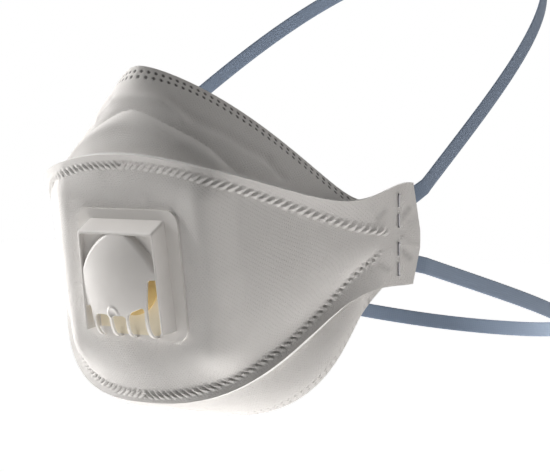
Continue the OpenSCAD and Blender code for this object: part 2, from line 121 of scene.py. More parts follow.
def mixed_strength(tree, low, high):
    """A strength that is low for the rays that light the mask and high for those that show."""
    mix = tree.nodes.new("ShaderNodeMapRange")
    tree.links.new(seen_rays(tree), mix.inputs["Value"])
    mix.inputs["To Min"].default_value, mix.inputs["To Max"].default_value = low, high
    return mix.outputs["Result"]


world = bpy.data.worlds.new("studio")
STAGE.world = world
world.use_nodes = True
sky = world.node_tree.nodes["Background"]
sky.inputs["Color"].default_value = (1, 1, 1, 1)
world.node_tree.links.new(mixed_strength(world.node_tree, 0.03, 1.0), sky.inputs["Strength"])

FLOOR_Z = -0.45
FLOOR_SIZE = 12
bpy.ops.mesh.primitive_plane_add(size=FLOOR_SIZE, location=(0, 0, FLOOR_Z))
floor = bpy.context.object
floor.name = "floor"
paper = bpy.data.materials.new("floor_paper")
paper.use_nodes = True
paper_shader = paper.node_tree.nodes["Principled BSDF"]
paper_shader.inputs["Base Color"].default_value = (0.8, 0.8, 0.8, 1)
paper_shader.inputs["Roughness"].default_value = 0.9
paper_shader.inputs["Emission Color"].default_value = (1, 1, 1, 1)
paper.node_tree.links.new(mixed_strength(paper.node_tree, 0.0, 0.92),
                          paper_shader.inputs["Emission Strength"])
floor.data.materials.append(paper)

# ---------------------------------------------------------------- finishes


class Value:
    """A socket that is used in plain arithmetic: each operator adds one Math node."""

    def __init__(self, finish, socket):
        self.finish, self.socket = finish, socket

    def math(self, operation, *values):
        return self.finish.node("ShaderNodeMath", {"operation": operation}, dict(enumerate(values)))

    def __add__(self, other):
        return self.math("ADD", self, other)

    __radd__ = __add__

    def __sub__(self, other):
        return self.math("SUBTRACT", self, other)

    def __rsub__(self, other):
        return self.math("SUBTRACT", other, self)

    def __mul__(self, other):
        return self.math("MULTIPLY", self, other)

    __rmul__ = __mul__

    def sine(self):
        return self.math("SINE", self)

    def size(self):
        return self.math("ABSOLUTE", self)

    def step(self, low, high):
        """0 below low and 1 above high, with a smooth rise between."""
        return self.finish.node("ShaderNodeMapRange", {"interpolation_type": "SMOOTHSTEP"},
                                {"Value": self, "From Min": low, "From Max": high})


class Finish:
    """A procedural material: its constants are set on the shader, and node() adds a node."""

    def __init__(self, name, **constants):
        self.material = bpy.data.materials.new(name)
        self.material.use_nodes = True
        self.tree = self.material.node_tree
        self.shader = self.tree.nodes["Principled BSDF"]
        for socket, value in constants.items():
            self.shader.inputs[socket.replace("_", " ")].default_value = value

    def node(self, kind, settings, inputs, output=0):
        node = self.tree.nodes.new(kind)
        for key, value in settings.items():
            setattr(node, key, value)
        for key, value in inputs.items():
            if isinstance(value, Value):
                self.tree.links.new(value.socket, node.inputs[key])
            else:
                node.inputs[key].default_value = value
        return Value(self, node.outputs[output])

    def part(self, vector, axis):
        return self.node("ShaderNodeSeparateXYZ", {}, {0: vector}, axis)

    def place(self):
        return self.node("ShaderNodeTexCoord", {}, {}, "Object")

    def cloth_map(self):
        return self.node("ShaderNodeUVMap", {"uv_map": "cloth"}, {})

    def wear_and_marks(self, name):
        return self.node("ShaderNodeAttribute", {"attribute_name": name}, {}, "Fac")

    def stretched(self, vector, scale):
        return self.node("ShaderNodeVectorMath", {"operation": "MULTIPLY"}, {0: vector, 1: scale})

    def noise(self, vector, scale, detail=2.0):
        return self.node("ShaderNodeTexNoise", {}, {"Vector": vector, "Scale": scale, "Detail": detail})

    def mix(self, share, first, second):
        return self.node("ShaderNodeMix", {"data_type": "RGBA"}, {0: share, 6: first, 7: second}, 2)

    def join(self, **sockets):
        for socket, value in sockets.items():
            self.tree.links.new(value.socket, self.shader.inputs[socket.replace("_", " ")])

    def bump(self, height, distance, strength=1.0):
        """Bump whose height of 1 stands the distance, in metres, off the surface."""
        self.join(Normal=self.node("ShaderNodeBump", {}, {"Strength": strength, "Distance": distance,
                                                         "Height": height}, "Normal"))


def dimmed(colour, share):
    return tuple(share * c for c in colour[:3]) + (1,)


WEB_ROUGHNESS, WEB_RELIEF = 0.9, 0.00022
LATTICE_DRIFT, LATTICE_STRETCH = 4.5, 0.8
FIBRE_STRETCH = (1.0, 2.6, 1.0)


def web_finish(name, light, shade, bond_pitch, bond_depth):
    """Spunbond web: matted fibres with a lattice of small sunken bonds, darker at the weld dots, with
    painted shade in the welds' grooves and the staples' dents.

    The bonds are where the product of two sines of the cloth map, in millimetres, is high. A slow
    noise moves the map by some millimetres, so that the lattice isn't regular."""
    f = Finish(name, Specular_IOR_Level=0.25, Sheen_Weight=0.15, Sheen_Roughness=0.6)
    cloth = f.cloth_map()
    turn = 2 * math.pi / bond_pitch
    wobble = f.noise(f.place(), 100.0) * LATTICE_DRIFT
    across = ((f.part(cloth, 0) + wobble) * turn).sine()
    along = ((f.part(cloth, 1) - wobble) * (turn * LATTICE_STRETCH)).sine()
    bonds = (across * along).step(0.35, 0.8)
    fibres = f.noise(f.stretched(cloth, FIBRE_STRETCH), 1.9, 5.0)
    clouds = f.noise(f.place(), 55.0, 3.0)
    tint_and_shade = f.wear_and_marks("pressed")
    tone = f.mix(clouds.step(0.3, 0.75), shade, light)
    tone = f.mix(bonds * 0.05, tone, (0.55, 0.54, 0.52, 1))
    tone = f.mix(fibres.step(0.5, 0.8) * 0.10, tone, (0.62, 0.61, 0.59, 1))
    # The near-black is the weld dots' own colour and painted shade in the rope welds' grooves and the
    # staples' dents.
    tone = f.mix(tint_and_shade, tone, (0.11, 0.105, 0.10, 1))
    f.join(Base_Color=tone, Roughness=WEB_ROUGHNESS - tint_and_shade * 0.3)
    f.bump(fibres * 0.9 - bonds * bond_depth, WEB_RELIEF)
    return f.material


# The second colour is painted light: the yellow flap's glow painted on the seat under the hood, made
# bright to offset the shade there.
VALVE_WHITE, PAINTED_FLAP_LIGHT = (0.80, 0.78, 0.755, 1), (0.97, 0.89, 0.70, 1)
VALVE_ROUGHNESS, MOULD_GRAIN = 0.36, 0.00003


def plastic_finish():
    """Moulded plastic: an even colour, a faint mould grain and slightly varied gloss."""
    f = Finish("valve_plastic", Specular_IOR_Level=0.45)
    place = f.place()
    grains = f.noise(place, 900.0, 3.0)
    clouds = f.noise(place, 60.0)
    f.join(Base_Color=f.mix(clouds.step(0.3, 0.7), VALVE_WHITE, dimmed(VALVE_WHITE, 0.97)),
           Roughness=VALVE_ROUGHNESS + grains * 0.12)
    f.bump(grains, MOULD_GRAIN)
    return f.material


outer_finish = web_finish("spunbond_outer", (0.84, 0.825, 0.805, 1), (0.80, 0.785, 0.765, 1), 1.3, 0.32)
filter_finish = web_finish("meltblown_filter", (0.86, 0.86, 0.85, 1), (0.82, 0.82, 0.81, 1), 3.0, 0.1)
stiff_finish = web_finish("stiffener_web", (0.80, 0.80, 0.79, 1), (0.75, 0.75, 0.74, 1), 2.2, 0.9)
inner_finish = web_finish("soft_inner_web", (0.86, 0.855, 0.84, 1), (0.82, 0.815, 0.80, 1), 1.9, 0.5)
valve_finish = plastic_finish()


# Room inside the hood in the valve's frame, in metres, where the flap's yellow light is painted on the
# seat: its sides, top and foot, each with the band over which the painted light fades; the foot is
# rounded off by FOOT_ROUND between the two distances of FOOT_CORNER
FLAP_LIGHT_SIDE, FLAP_LIGHT_TOP, FLAP_LIGHT_FOOT = (0.0172, 0.0178), (0.016, 0.017), (-0.0222, -0.0218)
FOOT_CORNER, FOOT_ROUND = (0.010, 0.013), 0.0023


def seat_finish():
    """The valve's plastic, with the yellow flap's light painted in cream on what lies inside the hood,
    bright to offset the shade there.
    """
    f = Finish("valve_seat_plastic", Specular_IOR_Level=0.45)
    place = f.place()
    off = [f.part(place, k) - VALVE_AT[k] * MM for k in range(3)]
    height = off[1] * VALVE_UP[1] + off[2] * VALVE_UP[2]
    side = off[0].size()
    above_foot = (height - side.step(*FOOT_CORNER) * FOOT_ROUND).step(*FLAP_LIGHT_FOOT)
    inside = (1 - side.step(*FLAP_LIGHT_SIDE)) * above_foot * (1 - height.step(*FLAP_LIGHT_TOP))
    grains = f.noise(place, 900.0, 3.0)
    # Painted light: cream where the flap's light falls inside the hood
    f.join(Base_Color=f.mix(inside, VALVE_WHITE, PAINTED_FLAP_LIGHT), Roughness=VALVE_ROUGHNESS + grains * 0.12)
    f.bump(grains, MOULD_GRAIN)
    return f.material


def rubber_finish():
    f = Finish("flap_rubber", Specular_IOR_Level=0.4)
    grains = f.noise(f.place(), 400.0, 3.0)
    f.join(Base_Color=f.mix(grains, (1.0, 0.78, 0.36, 1), (0.94, 0.70, 0.31, 1)),
           Roughness=0.42 + grains * 0.12)
    f.bump(grains, MOULD_GRAIN)
    return f.material


RIB_PITCH, YARN_PITCH = 0.75, 0.9


def elastic_finish():
    """Braided elastic: fine ribs along the band, crossed by slanted yarns, on the cloth map."""
    f = Finish("elastic_braid", Specular_IOR_Level=0.25, Sheen_Weight=0.25, Sheen_Roughness=0.5)
    cloth = f.cloth_map()
    length, width = f.part(cloth, 0), f.part(cloth, 1)
    ribs = (width * (2 * math.pi / RIB_PITCH)).sine()
    yarns = (length * (2 * math.pi / YARN_PITCH) + ribs * 1.2).sine()
    wear_and_marks = f.noise(cloth, 0.6, 4.0)
    weave = yarns * 0.5 + ribs * 0.35
    tone = f.mix(weave.step(-0.6, 0.6), (0.215, 0.275, 0.375, 1), (0.245, 0.31, 0.41, 1))
    f.join(Base_Color=f.mix(wear_and_marks.step(0.4, 0.8) * 0.10, tone, (0.30, 0.36, 0.45, 1)),
           Roughness=0.72 + wear_and_marks * 0.15)
    f.bump(weave, 0.00004)
    return f.material


def metal_finish(name, colour, roughness):
    f = Finish(name, Metallic=1.0)
    place = f.place()
    brushed = f.noise(f.stretched(place, (1.0, 1.0, 12.0)), 500.0, 3.0)
    spots = f.noise(place, 700.0, 2.0)
    f.join(Base_Color=f.mix(spots.step(0.45, 0.75), colour, dimmed(colour, 0.6)),
           Roughness=roughness + brushed * 0.2)
    f.bump(brushed, 0.00002)
    return f.material


def foam_finish():
    """Soft closed foam: small cells from two sizes of cell noise."""
    f = Finish("nose_foam", Roughness=0.95, Specular_IOR_Level=0.15)
    place = f.place()
    cells = f.node("ShaderNodeTexVoronoi", {}, {"Vector": place, "Scale": 1500.0}, "Distance")
    clouds = f.noise(place, 120.0, 3.0)
    tone = f.mix(cells.step(0.1, 0.6), (0.30, 0.31, 0.325, 1), (0.47, 0.48, 0.50, 1))
    f.join(Base_Color=f.mix(clouds * 0.3, tone, (0.55, 0.56, 0.58, 1)))
    f.bump(cells, 0.0002)
    return f.material


flap_finish = rubber_finish()
band_finish = elastic_finish()
staple_finish = metal_finish("staple_steel", (0.23, 0.23, 0.24, 1), 0.38)
clip_finish = metal_finish("aluminium_strip", (0.78, 0.78, 0.79, 1), 0.35)
padding_finish = foam_finish()

# ---------------------------------------------------------------- meshes


def volume_of(points, faces):
    """Volume of a closed mesh: a sixth of the sum of a . (b x c) over its triangles."""
    total = 0
    for f in faces:
        for k in range(1, f.shape[1] - 1):
            a, b, c = points[f[:, 0]], points[f[:, k]], points[f[:, k + 1]]
            total += (a * np.cross(b, c)).sum() / 6
    return total


def mesh_object(name, points, faces, material, cloth=None, pressed=None, sharp=38):
    """A smooth-shaded object from points in millimetres and a list of face arrays."""
    if volume_of(points, faces) < 0:
        faces = [f[:, ::-1] for f in faces]
    used, faces_flat = np.unique(np.concatenate([f.ravel() for f in faces]), return_inverse=True)
    sizes = np.concatenate([np.full(len(f), f.shape[1]) for f in faces])
    mesh = bpy.data.meshes.new(name)
    mesh.vertices.add(len(used))
    mesh.vertices.foreach_set("co", (points[used] * MM).astype(np.float32).ravel())
    mesh.loops.add(len(faces_flat))
    mesh.loops.foreach_set("vertex_index", faces_flat.astype(np.int32))
    mesh.polygons.add(len(sizes))
    mesh.polygons.foreach_set("loop_start", (np.cumsum(sizes) - sizes).astype(np.int32))
    mesh.update(calc_edges=True)
    if cloth is not None:
        layer = mesh.uv_layers.new(name="cloth")
        layer.uv.foreach_set("vector", cloth[used][faces_flat].astype(np.float32).ravel())
    if pressed is not None:
        layer = mesh.attributes.new("pressed", "FLOAT", "POINT")
        layer.data.foreach_set("value", pressed[used].astype(np.float32))
    mesh.validate()
    mesh.shade_smooth()
    mesh.set_sharp_from_angle(angle=math.radians(sharp))
    mesh.materials.append(material)
    thing = bpy.data.objects.new(name, mesh)
    STAGE.collection.objects.link(thing)
    return thing


def shell(name, front, behind, material, keep=None, wrap=False, cloth=None, pressed=None, sharp=38):
    """A closed sheet between two grids of points, with a wall wherever a kept cell has no neighbour.

    The front grid's normal is its step along the columns crossed with its step up the rows. A
    wrapped grid joins its last column to its first. Cells that aren't kept are left out."""
    rows, columns = front.shape[:2]
    index = np.arange(rows * columns).reshape(rows, columns)
    if wrap:
        index = np.concatenate([index, index[:, :1]], 1)
    if keep is None:
        keep = np.ones((rows - 1, index.shape[1] - 1), bool)
    a, b, c, d = index[:-1, :-1], index[:-1, 1:], index[1:, 1:], index[1:, :-1]
    ring = np.pad(keep, ((1, 1), (0, 0)))
    ring = np.pad(ring, ((0, 0), (1, 1)), mode="wrap") if wrap else np.pad(ring, ((0, 0), (1, 1)))
    lost = rows * columns
    faces = [np.stack([a, b, c, d], -1)[keep], np.stack([d, c, b, a], -1)[keep] + lost]
    for first, second, beside in ((a, b, ring[:-2, 1:-1]), (b, c, ring[1:-1, 2:]),
                                  (c, d, ring[2:, 1:-1]), (d, a, ring[1:-1, :-2])):
        bare = keep & ~beside
        faces.append(np.stack([second, first, first + lost, second + lost], -1)[bare])
    points = np.concatenate([front.reshape(-1, 3), behind.reshape(-1, 3)])
    twice = [None if x is None else np.concatenate([x.reshape(lost, -1)] * 2) for x in (cloth, pressed)]
    if twice[1] is not None:
        twice[1] = twice[1][:, 0]
    return mesh_object(name, points, faces, material, twice[0], twice[1], sharp)


def loft(name, rings, material, cloth=None, sharp=38):
    """A solid through rings of points, (ring, point, xyz), closed by a fan at each end.

    The rings run so that a ring's direction crossed with the way along the rings points outwards."""
    count, around = rings.shape[:2]
    index = np.arange(count * around).reshape(count, around)
    index = np.concatenate([index, index[:, :1]], 1)
    a, b, c, d = index[:-1, :-1], index[:-1, 1:], index[1:, 1:], index[1:, :-1]
    quads = np.stack([a, b, c, d], -1).reshape(-1, 4)
    points = np.concatenate([rings.reshape(-1, 3), rings[[0, -1]].mean(1)])
    tip, tail = count * around, count * around + 1
    first, last = index[0], index[-1]
    fans = np.concatenate([
        np.stack([first[1:], first[:-1], np.full(around, tip)], -1),
        np.stack([last[:-1], last[1:], np.full(around, tail)], -1)])
    flat = None
    if cloth is not None:
        flat = np.concatenate([cloth.reshape(-1, 2), cloth[[0, -1]].mean(1)])
    return mesh_object(name, points, [quads, fans], material, flat, None, sharp)


def length_along(points):
    """Length from the first point of a path to each of its points."""
    steps = np.linalg.norm(np.diff(points, axis=0), axis=-1)
    return np.concatenate([np.zeros((1,) + steps.shape[1:]), np.cumsum(steps, 0)])


def smooth(x):
    """The smooth step: 0 below 0, 1 above 1 and x * x * (3 - 2 x) between."""
    x = np.clip(x, 0, 1)
    return x * x * (3 - 2 * x)


def unit(v):
    return v / np.linalg.norm(v, axis=-1, keepdims=True)


def grid_normals(grid):
    """Outward unit normals of a grid: its steps along the columns crossed with those up the rows."""
    return unit(np.cross(np.gradient(grid, axis=1), np.gradient(grid, axis=0)))


# ---------------------------------------------------------------- the panels' surfaces

# Seam and edge curves of the wearer's left half, from the middle of the front to the tab's end
UPPER_SEAM = [[0, -66, 34.5], [30, -66, 34.5], [46, -62.5, 27.5], [57.5, -45.5, 22],
              [67, -30, 17], [72.5, -19, 7], [76, -9.5, 12], [80.5, 4, 11]]
UPPER_RIM = [[0, -68.5, 38], [28.5, -68.5, 38], [48.5, -62.5, 30], [62, -47.5, 31],
             [69, -31.5, 17.5], [73.5, -19.5, 14], [76, -9.5, 30], [80, 1, 28]]
LOWER_SEAM = [[0, -53, -48.5], [26, -53, -48.5], [42.5, -46, -43], [57, -33, -29.5],
              [65, -24, -12], [70, -19, 4], [74, -11.5, 5.5], [80.5, 4, 5]]
LOWER_RIM = [[0, -53, -51.5], [28, -53, -51.5], [48.5, -45, -48], [60.5, -34.5, -30.5],
             [66, -26.5, -10.5], [72, -18, -6.5], [77.5, -8, -9.5], [80, 1, -8]]
NOSE_EDGE = [[0, -56, 69.5], [7.5, -56, 69.5], [18, -48.5, 65], [37.5, -35.5, 55],
             [57.5, -23, 37], [67.5, -17.5, 11.5], [69, -13.5, 18], [80, 1, 27.5]]
CHIN_EDGE = [[0, -27, -54.5], [10, -27, -54.5], [28.5, -34, -62], [50, -32, -54.5],
             [67.5, -22.5, -50.5], [70, -17.5, -27], [66.5, -15.5, 0], [80, 1, -7]]

OUTER_T, FILTER_T, STIFF_T, INNER_T = 0.3, 0.5, 0.25, 0.25
CENTRE_T = OUTER_T + FILTER_T + STIFF_T + INNER_T
CHEEK_T = OUTER_T + FILTER_T + INNER_T
SEAM_STEP = CENTRE_T + 0.15

SEAT_W, SEAT_H, SEAT_T = 48, 47, 1.2
LEAN = math.radians(8)
VALVE_AT = np.array([1, -59.9, -4.6])
VALVE_OUT = np.array([0, -math.cos(LEAN), -math.sin(LEAN)])
VALVE_UP = np.array([0, -math.sin(LEAN), math.cos(LEAN)])

TAB_AT = np.array([80.5, 4, 8])
TAB_ALONG = unit(np.array([1, 2.9, 0]))
TAB_OUT = np.array([TAB_ALONG[1], -TAB_ALONG[0], 0])


def bezier(points, share):
    """Point of a Bezier curve: the sum of C(n, i) * s^i * (1 - s)^(n - i) * point i."""
    n = len(points) - 1
    s = np.asarray(share, float)[..., None]
    return sum(math.comb(n, i) * s**i * (1 - s) ** (n - i) * np.array(p, float)
               for i, p in enumerate(points))


def mirrored(points, s):
    """The vector with its X turned over where s is on the wearer's right."""
    return points * np.stack([np.where(s < 0, -1.0, 1.0), np.ones_like(s), np.ones_like(s)], -1)


def edge(points, s):
    return mirrored(bezier(points, np.abs(s)), s)


def outward(points, s):
    """Level direction square to an edge curve, away from the face."""
    near, step = np.abs(s), 0.001
    d = bezier(points, np.minimum(1, near + step)) - bezier(points, np.maximum(0, near - step))
    return mirrored(unit(np.stack([d[..., 1], -d[..., 0], 0 * d[..., 0]], -1)), s)


def cubic(a, b, c, d, t):
    return (1 - t) ** 3 * a + 3 * t * (1 - t) ** 2 * b + 3 * t * t * (1 - t) * c + t**3 * d


def pull(p, at, normal, share):
    """Moves points towards the plane through at by a share of their distance from it."""
    off = ((p - at) * normal).sum(-1, keepdims=True)
    return p - share[..., None] * off * normal


def flatten_tab(p):
    """The tabs are flat: the pull grows from 16 to 9 mm in front of the origin."""
    share = smooth((p[..., 1] + 16) / 7)
    side = np.where(p[..., :1] < 0, -1.0, 1.0)
    flip = np.concatenate([side, np.ones_like(side), np.ones_like(side)], -1)
    return pull(p, TAB_AT * flip, TAB_OUT * flip, share)


def flatten_valve(p):
    """The front is flat under the valve's flange, and 14 mm further on it is free."""
    q = p - VALVE_AT
    dx = np.maximum(0, np.abs(q[..., 0]) - SEAT_W / 2 - 6)
    dz = np.maximum(0, np.abs((q * VALVE_UP).sum(-1)) - SEAT_H / 2 - 3)
    return pull(p, VALVE_AT, VALVE_OUT, 1 - smooth(np.hypot(dx, dz) / 14))


def fade(s):
    return (1 - np.abs(s) ** 3)[..., None]


def swollen(a, d, t, first, second):
    """A cubic from a to d whose inner control points stand off the straight line."""
    return cubic(a, a + (d - a) / 3 + first, a + (d - a) * 2 / 3 + second, d, np.asarray(t)[..., None])


def centre_skin(s, t):
    """Centre panel between its seams: t runs from the lower seam to the upper one."""
    n = outward(UPPER_SEAM, s) * fade(s)
    return flatten_tab(flatten_valve(swollen(edge(LOWER_SEAM, s), edge(UPPER_SEAM, s), t, 5 * n, n)))


def centre_surface(s, v):
    """Centre panel with its flanges: v from -1 to 0 is the lower one, and from 1 to 2 the upper one."""
    body = centre_skin(s, np.clip(v, 0, 1))
    low, high = np.clip(-v, 0, 1)[..., None], np.clip(v - 1, 0, 1)[..., None]
    body = body + low * (flatten_tab(edge(LOWER_RIM, s)) - body)
    return body + high * (flatten_tab(edge(UPPER_RIM, s)) - body)


CAD_SIDES = np.linspace(-1, 1, 33)
cad_rows = np.array([-1] + [row / 8 for row in range(9)] + [2])
cad_centre = centre_surface(*np.meshgrid(CAD_SIDES, cad_rows))
cad_normals = grid_normals(cad_centre)


def step_back(s, seam_row, t):
    """The cheek panels start behind the centre panel, and stay behind it at the tabs."""
    normal = np.stack([np.interp(s, CAD_SIDES, cad_normals[seam_row, :, k]) for k in range(3)], -1)
    free = 1 - smooth((np.abs(s) - 0.5) / 0.3)
    return -SEAM_STEP * (1 - t * free)[..., None] * normal


def top_surface(s, t):
    """Top panel: t runs from the upper seam to the nose edge."""
    n = outward(UPPER_SEAM, s) * fade(s)
    skin = swollen(edge(UPPER_SEAM, s), edge(NOSE_EDGE, s), t, 2 * n, n)
    return flatten_tab(skin) + step_back(s, 9, t)


def chin_surface(s, v):
    """Bottom panel: v runs from the chin edge at 0 to the lower seam at 1."""
    t = 1 - v
    n = outward(LOWER_SEAM, s) * 3 * fade(s) - np.array([0, 0, 4]) * fade(s)
    skin = swollen(edge(LOWER_SEAM, s), edge(CHIN_EDGE, s), t, n, n)
    return flatten_tab(skin) + step_back(s, 1, t)


def even_sides(points, count, marks=()):
    """Shares from -1 to 1 that lie evenly along a curve, with the nearest ones moved onto marks."""
    s = np.linspace(0, 1, 2001)
    length = length_along(bezier(points, s))
    half = np.interp(np.linspace(0, length[-1], count // 2 + 1), length, s)
    both = np.concatenate([-half[:0:-1], half])
    for mark in marks:
        both[np.abs(both - mark).argmin()] = mark
    return both


class Panel:
    """A panel's grid: its points, outward normals, cloth map in millimetres and seam lengths."""

    def __init__(self, surface, sides, rows):
        self.sides, self.rows = sides, np.asarray(rows)
        self.s, self.v = np.meshgrid(self.sides, self.rows)
        self.points = surface(self.s, self.v)
        self.normals = grid_normals(self.points)
        across = length_along(self.points.transpose(1, 0, 2)).T
        across = across - across[:, len(sides) // 2][:, None]
        self.up = length_along(self.points)
        self.cloth = np.stack([across, self.up], -1)
        self.shift = np.zeros(self.s.shape)
        # Darkness from 0 to 1: the weld dots' own colour and painted shade in the welds' grooves and the
        # staples' dents
        self.pressed = np.zeros(self.s.shape)

    def from_row(self, value):
        """Length up each column from the row at this value, and the length along that row."""
        row = int(np.abs(self.rows - value).argmin())
        return self.up - self.up[row], np.broadcast_to(self.cloth[row, :, 0], self.s.shape)

    def layer(self, front, behind):
        """The grids between two depths behind the skin, which carries the shift on its normals."""
        skin = self.points + self.shift[..., None] * self.normals
        return [skin - np.broadcast_to(depth, self.s.shape)[..., None] * self.normals
                for depth in (front, behind)]


def squared(wave, power):
    """A superellipse's coordinate: the sign of a sine or cosine times a power of its size."""
    return np.sign(wave) * np.abs(wave) ** power


def bell(x, width):
    return np.exp(-((x / width) ** 2))


WELD_WIDTH, WELD_LEAN, WELD_FADE = 1.35, 0.95, 4
SPOT_EDGE = 0.45


def rope_weld(panel, value, way, pitch, end, rise, depth, dark):
    """A welded seam: a raised ridge cut by slanted grooves that lean away from the middle, darkened in
    the grooves with painted shade.

    height = strip * (rise - depth * groove). The strip is a flat bell across the seam, and the
    groove is a power of a raised cosine of (|length along| - lean * distance to the rim) / pitch."""
    up, along = panel.from_row(value)
    off = up * way
    strip = np.exp(-np.abs(off / WELD_WIDTH) ** 4) * smooth((end - np.abs(along)) / WELD_FADE)
    turn = 2 * np.pi * (np.abs(along) - WELD_LEAN * off) / pitch
    groove = (0.5 + 0.5 * np.cos(turn)) ** 1.6
    panel.shift += strip * (rise - depth * groove)
    # Painted shade in the grooves, as strong as dark
    panel.pressed = np.maximum(panel.pressed, dark * strip * smooth((groove - 0.4) / 0.4))


def dot_weld(panel, from_edge, along, first, gap, pitch, radius, end, depth, dark):
    """Two rows of small round welded spots sunk beside an edge, the second a third of a pitch along."""
    for row in range(2):
        place = (along / pitch + 0.33 * row) % 1 - 0.5
        far = np.hypot(place * pitch, from_edge - first - row * gap)
        spot = smooth((radius - far) / (SPOT_EDGE * radius)) * (np.abs(along) < end)
        panel.shift -= depth * spot
        panel.pressed = np.maximum(panel.pressed, dark * spot)


FAR_SHORTER, FOLD_SAMPLES = 1.08, 160


def fold(panel, path, height, above, below, sharp=False):
    """Bends the skin along a path on the cloth by height * exp(-(distance / width) ^ n).

    The width is its own above and below the path; n is 1 for a sharp crease and 2 for a round one.
    The far side carries the same fold a little shorter."""
    path = np.array(path, float)
    share = np.linspace(0, len(path) - 1, FOLD_SAMPLES)
    dense = np.stack([np.interp(share, np.arange(len(path)), path[:, k]) for k in range(2)], -1)
    u, v = np.where(panel.cloth[..., 0] < 0, -FAR_SHORTER, 1) * panel.cloth[..., 0], panel.up
    far = np.sqrt(((u[..., None] - dense[:, 0]) ** 2 + (v[..., None] - dense[:, 1]) ** 2).min(-1))
    over = v > np.interp(u, dense[:, 0], dense[:, 1])
    panel.shift += height * np.exp(-((far / np.where(over, above, below)) ** (1 if sharp else 2)))


# Dents by the staples: distances from the tab's end and heights of both ends, depth and darkness,
# which is painted shade in the dent; a negative depth stands out
TAB_DENTS = (((7.4, 16.2), (4.8, 18.7), 0.25, 0.30), ((7.8, 4.0), (4.3, 1.2), 0.25, 0.30),
             ((18.0, 15.7), (15.1, 18.1), 0.25, 0.22), ((16.7, -0.6), (13.7, -2.4), 0.25, 0.22),
             ((4.8, 14.0), (2.7, 15.4), 0.3, 0.08), ((7.4, 8.1), (3.5, 5.5), -0.3, 0.0))
DENT_WIDTH = 1.1


def tab_dents(panel):
    """Short grooves on both tabs, each by the distance from its middle line, darkened with painted shade.
    """
    away = ((TAB_AT - mirrored(panel.points, panel.s)) * TAB_ALONG).sum(-1)
    place = np.stack([away, panel.points[..., 2]], -1)
    for first, last, depth, dark in TAB_DENTS:
        a, way = np.array(first), np.array(last) - np.array(first)
        share = np.clip(((place - a) * way).sum(-1) / (way @ way), 0, 1)
        near = bell(np.linalg.norm(place - a - share[..., None] * way, axis=-1), DENT_WIDTH)
        panel.shift -= depth * near
        # Painted shade in the dents
        panel.pressed = np.maximum(panel.pressed, dark * near)


# The valve's hole in the centre panel: shares along its seams and between them
HOLE_SIDE = 0.125
HOLE_LOW, HOLE_HIGH = 0.375, 0.625
SEAM_IN = 0.035


def spread(*stops):
    """Row values from (start, count) pairs and a last value, evenly spaced between neighbours."""
    values = []
    for (start, count), following in zip(stops[:-1], stops[1:]):
        stop = following[0] if isinstance(following, tuple) else following
        values.extend(np.linspace(start, stop, count, endpoint=False))
    return values + [stops[-1]]


def outside_hole(panel):
    """True for the cells of the centre panel that lie outside the valve's hole."""
    s = (panel.s[:-1, :-1] + panel.s[:-1, 1:]) / 2
    v = (panel.v[:-1, :-1] + panel.v[1:, :-1]) / 2
    return ~((np.abs(s) < HOLE_SIDE)
             & (np.abs(v - (HOLE_LOW + HOLE_HIGH) / 2) < (HOLE_HIGH - HOLE_LOW) / 2))


def web_piece(name, panel, front, behind, material, node, keep=None):
    """A web between two depths of a panel, in place of its CAD node and attached to the mask; its area
    laid flat is worked out but not used.
    """
    skin, back_face = panel.layer(front, behind)
    piece = shell(name, skin, back_face, material, keep=keep,
                  cloth=panel.cloth, pressed=panel.pressed)
    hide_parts(node)
    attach(piece, "mask")
    steps = np.cross(np.diff(panel.points[:-1], axis=1), np.diff(panel.points[:, :-1], axis=0))
    area = np.linalg.norm(steps, axis=-1)
    area = (area if keep is None else area * keep).sum() * MM * MM


# Centre panel
fine_sides = even_sides(UPPER_SEAM, 560, (-HOLE_SIDE, HOLE_SIDE))
fine_rows = spread((-1, 10), (0, 8), (SEAM_IN, 15), (HOLE_LOW, 10), (HOLE_HIGH, 15),
                   (1 - SEAM_IN, 8), (1, 11), 2)
centre = Panel(centre_surface, fine_sides, fine_rows)
rope_weld(centre, 1, 1, 2.85, 108, rise=0.75, depth=0.75, dark=0.07)
rope_weld(centre, 0, -1, 2.65, 108, rise=0.85, depth=1.0, dark=0.18)
tab_dents(centre)
web_piece("centre_outer_web", centre, 0, OUTER_T, outer_finish, "centre_panel_outer_cover",
          keep=outside_hole(centre))

plain_sides = even_sides(UPPER_SEAM, 140, (-HOLE_SIDE, HOLE_SIDE))
plain_rows = spread((-1, 3), (0, 3), (SEAM_IN, 8), (HOLE_LOW, 5), (HOLE_HIGH, 8),
                    (1 - SEAM_IN, 3), (1, 3), 2)
plain = Panel(centre_surface, plain_sides, plain_rows)
depth = OUTER_T
for name, thick, material, node, slot in (
        ("centre_filter_web", FILTER_T, filter_finish, "centre_panel_filter", "filter_web"),
        ("centre_stiffener_web", STIFF_T, stiff_finish, "centre_panel_stiffener", "stiffener_web"),
        ("centre_inner_web", INNER_T, inner_finish, "centre_panel_inner_cover", "inner_web")):
    web_piece(name, plain, depth, depth + thick, material, node, keep=outside_hole(plain))
    depth += thick

# Top panel: its folds as (across, up) on the cloth, and the pressed spots along its nose edge
MAIN_FOLD = [(0, 19.4), (5.6, 19), (13.8, 18.1), (21, 17.2), (27.5, 16.2), (34.2, 14), (38.6, 11.1),
             (43.1, 8.2), (46.4, 6.5)]
BULGE_BELOW = 4.2
UPPER_RIDGE = [(0, 24.1), (4.6, 24.5), (9.9, 25.6), (14.6, 26.1), (19, 24.9), (22.6, 22.6)]
CHEEK_VALLEY = [(16.2, 27.2), (23.8, 24.7), (31.6, 23.1), (39.1, 22.2), (46.9, 19.1), (54.4, 17.4)]
CHEEK_LINE = [(56.4, 15.1), (62.1, 10.5)]


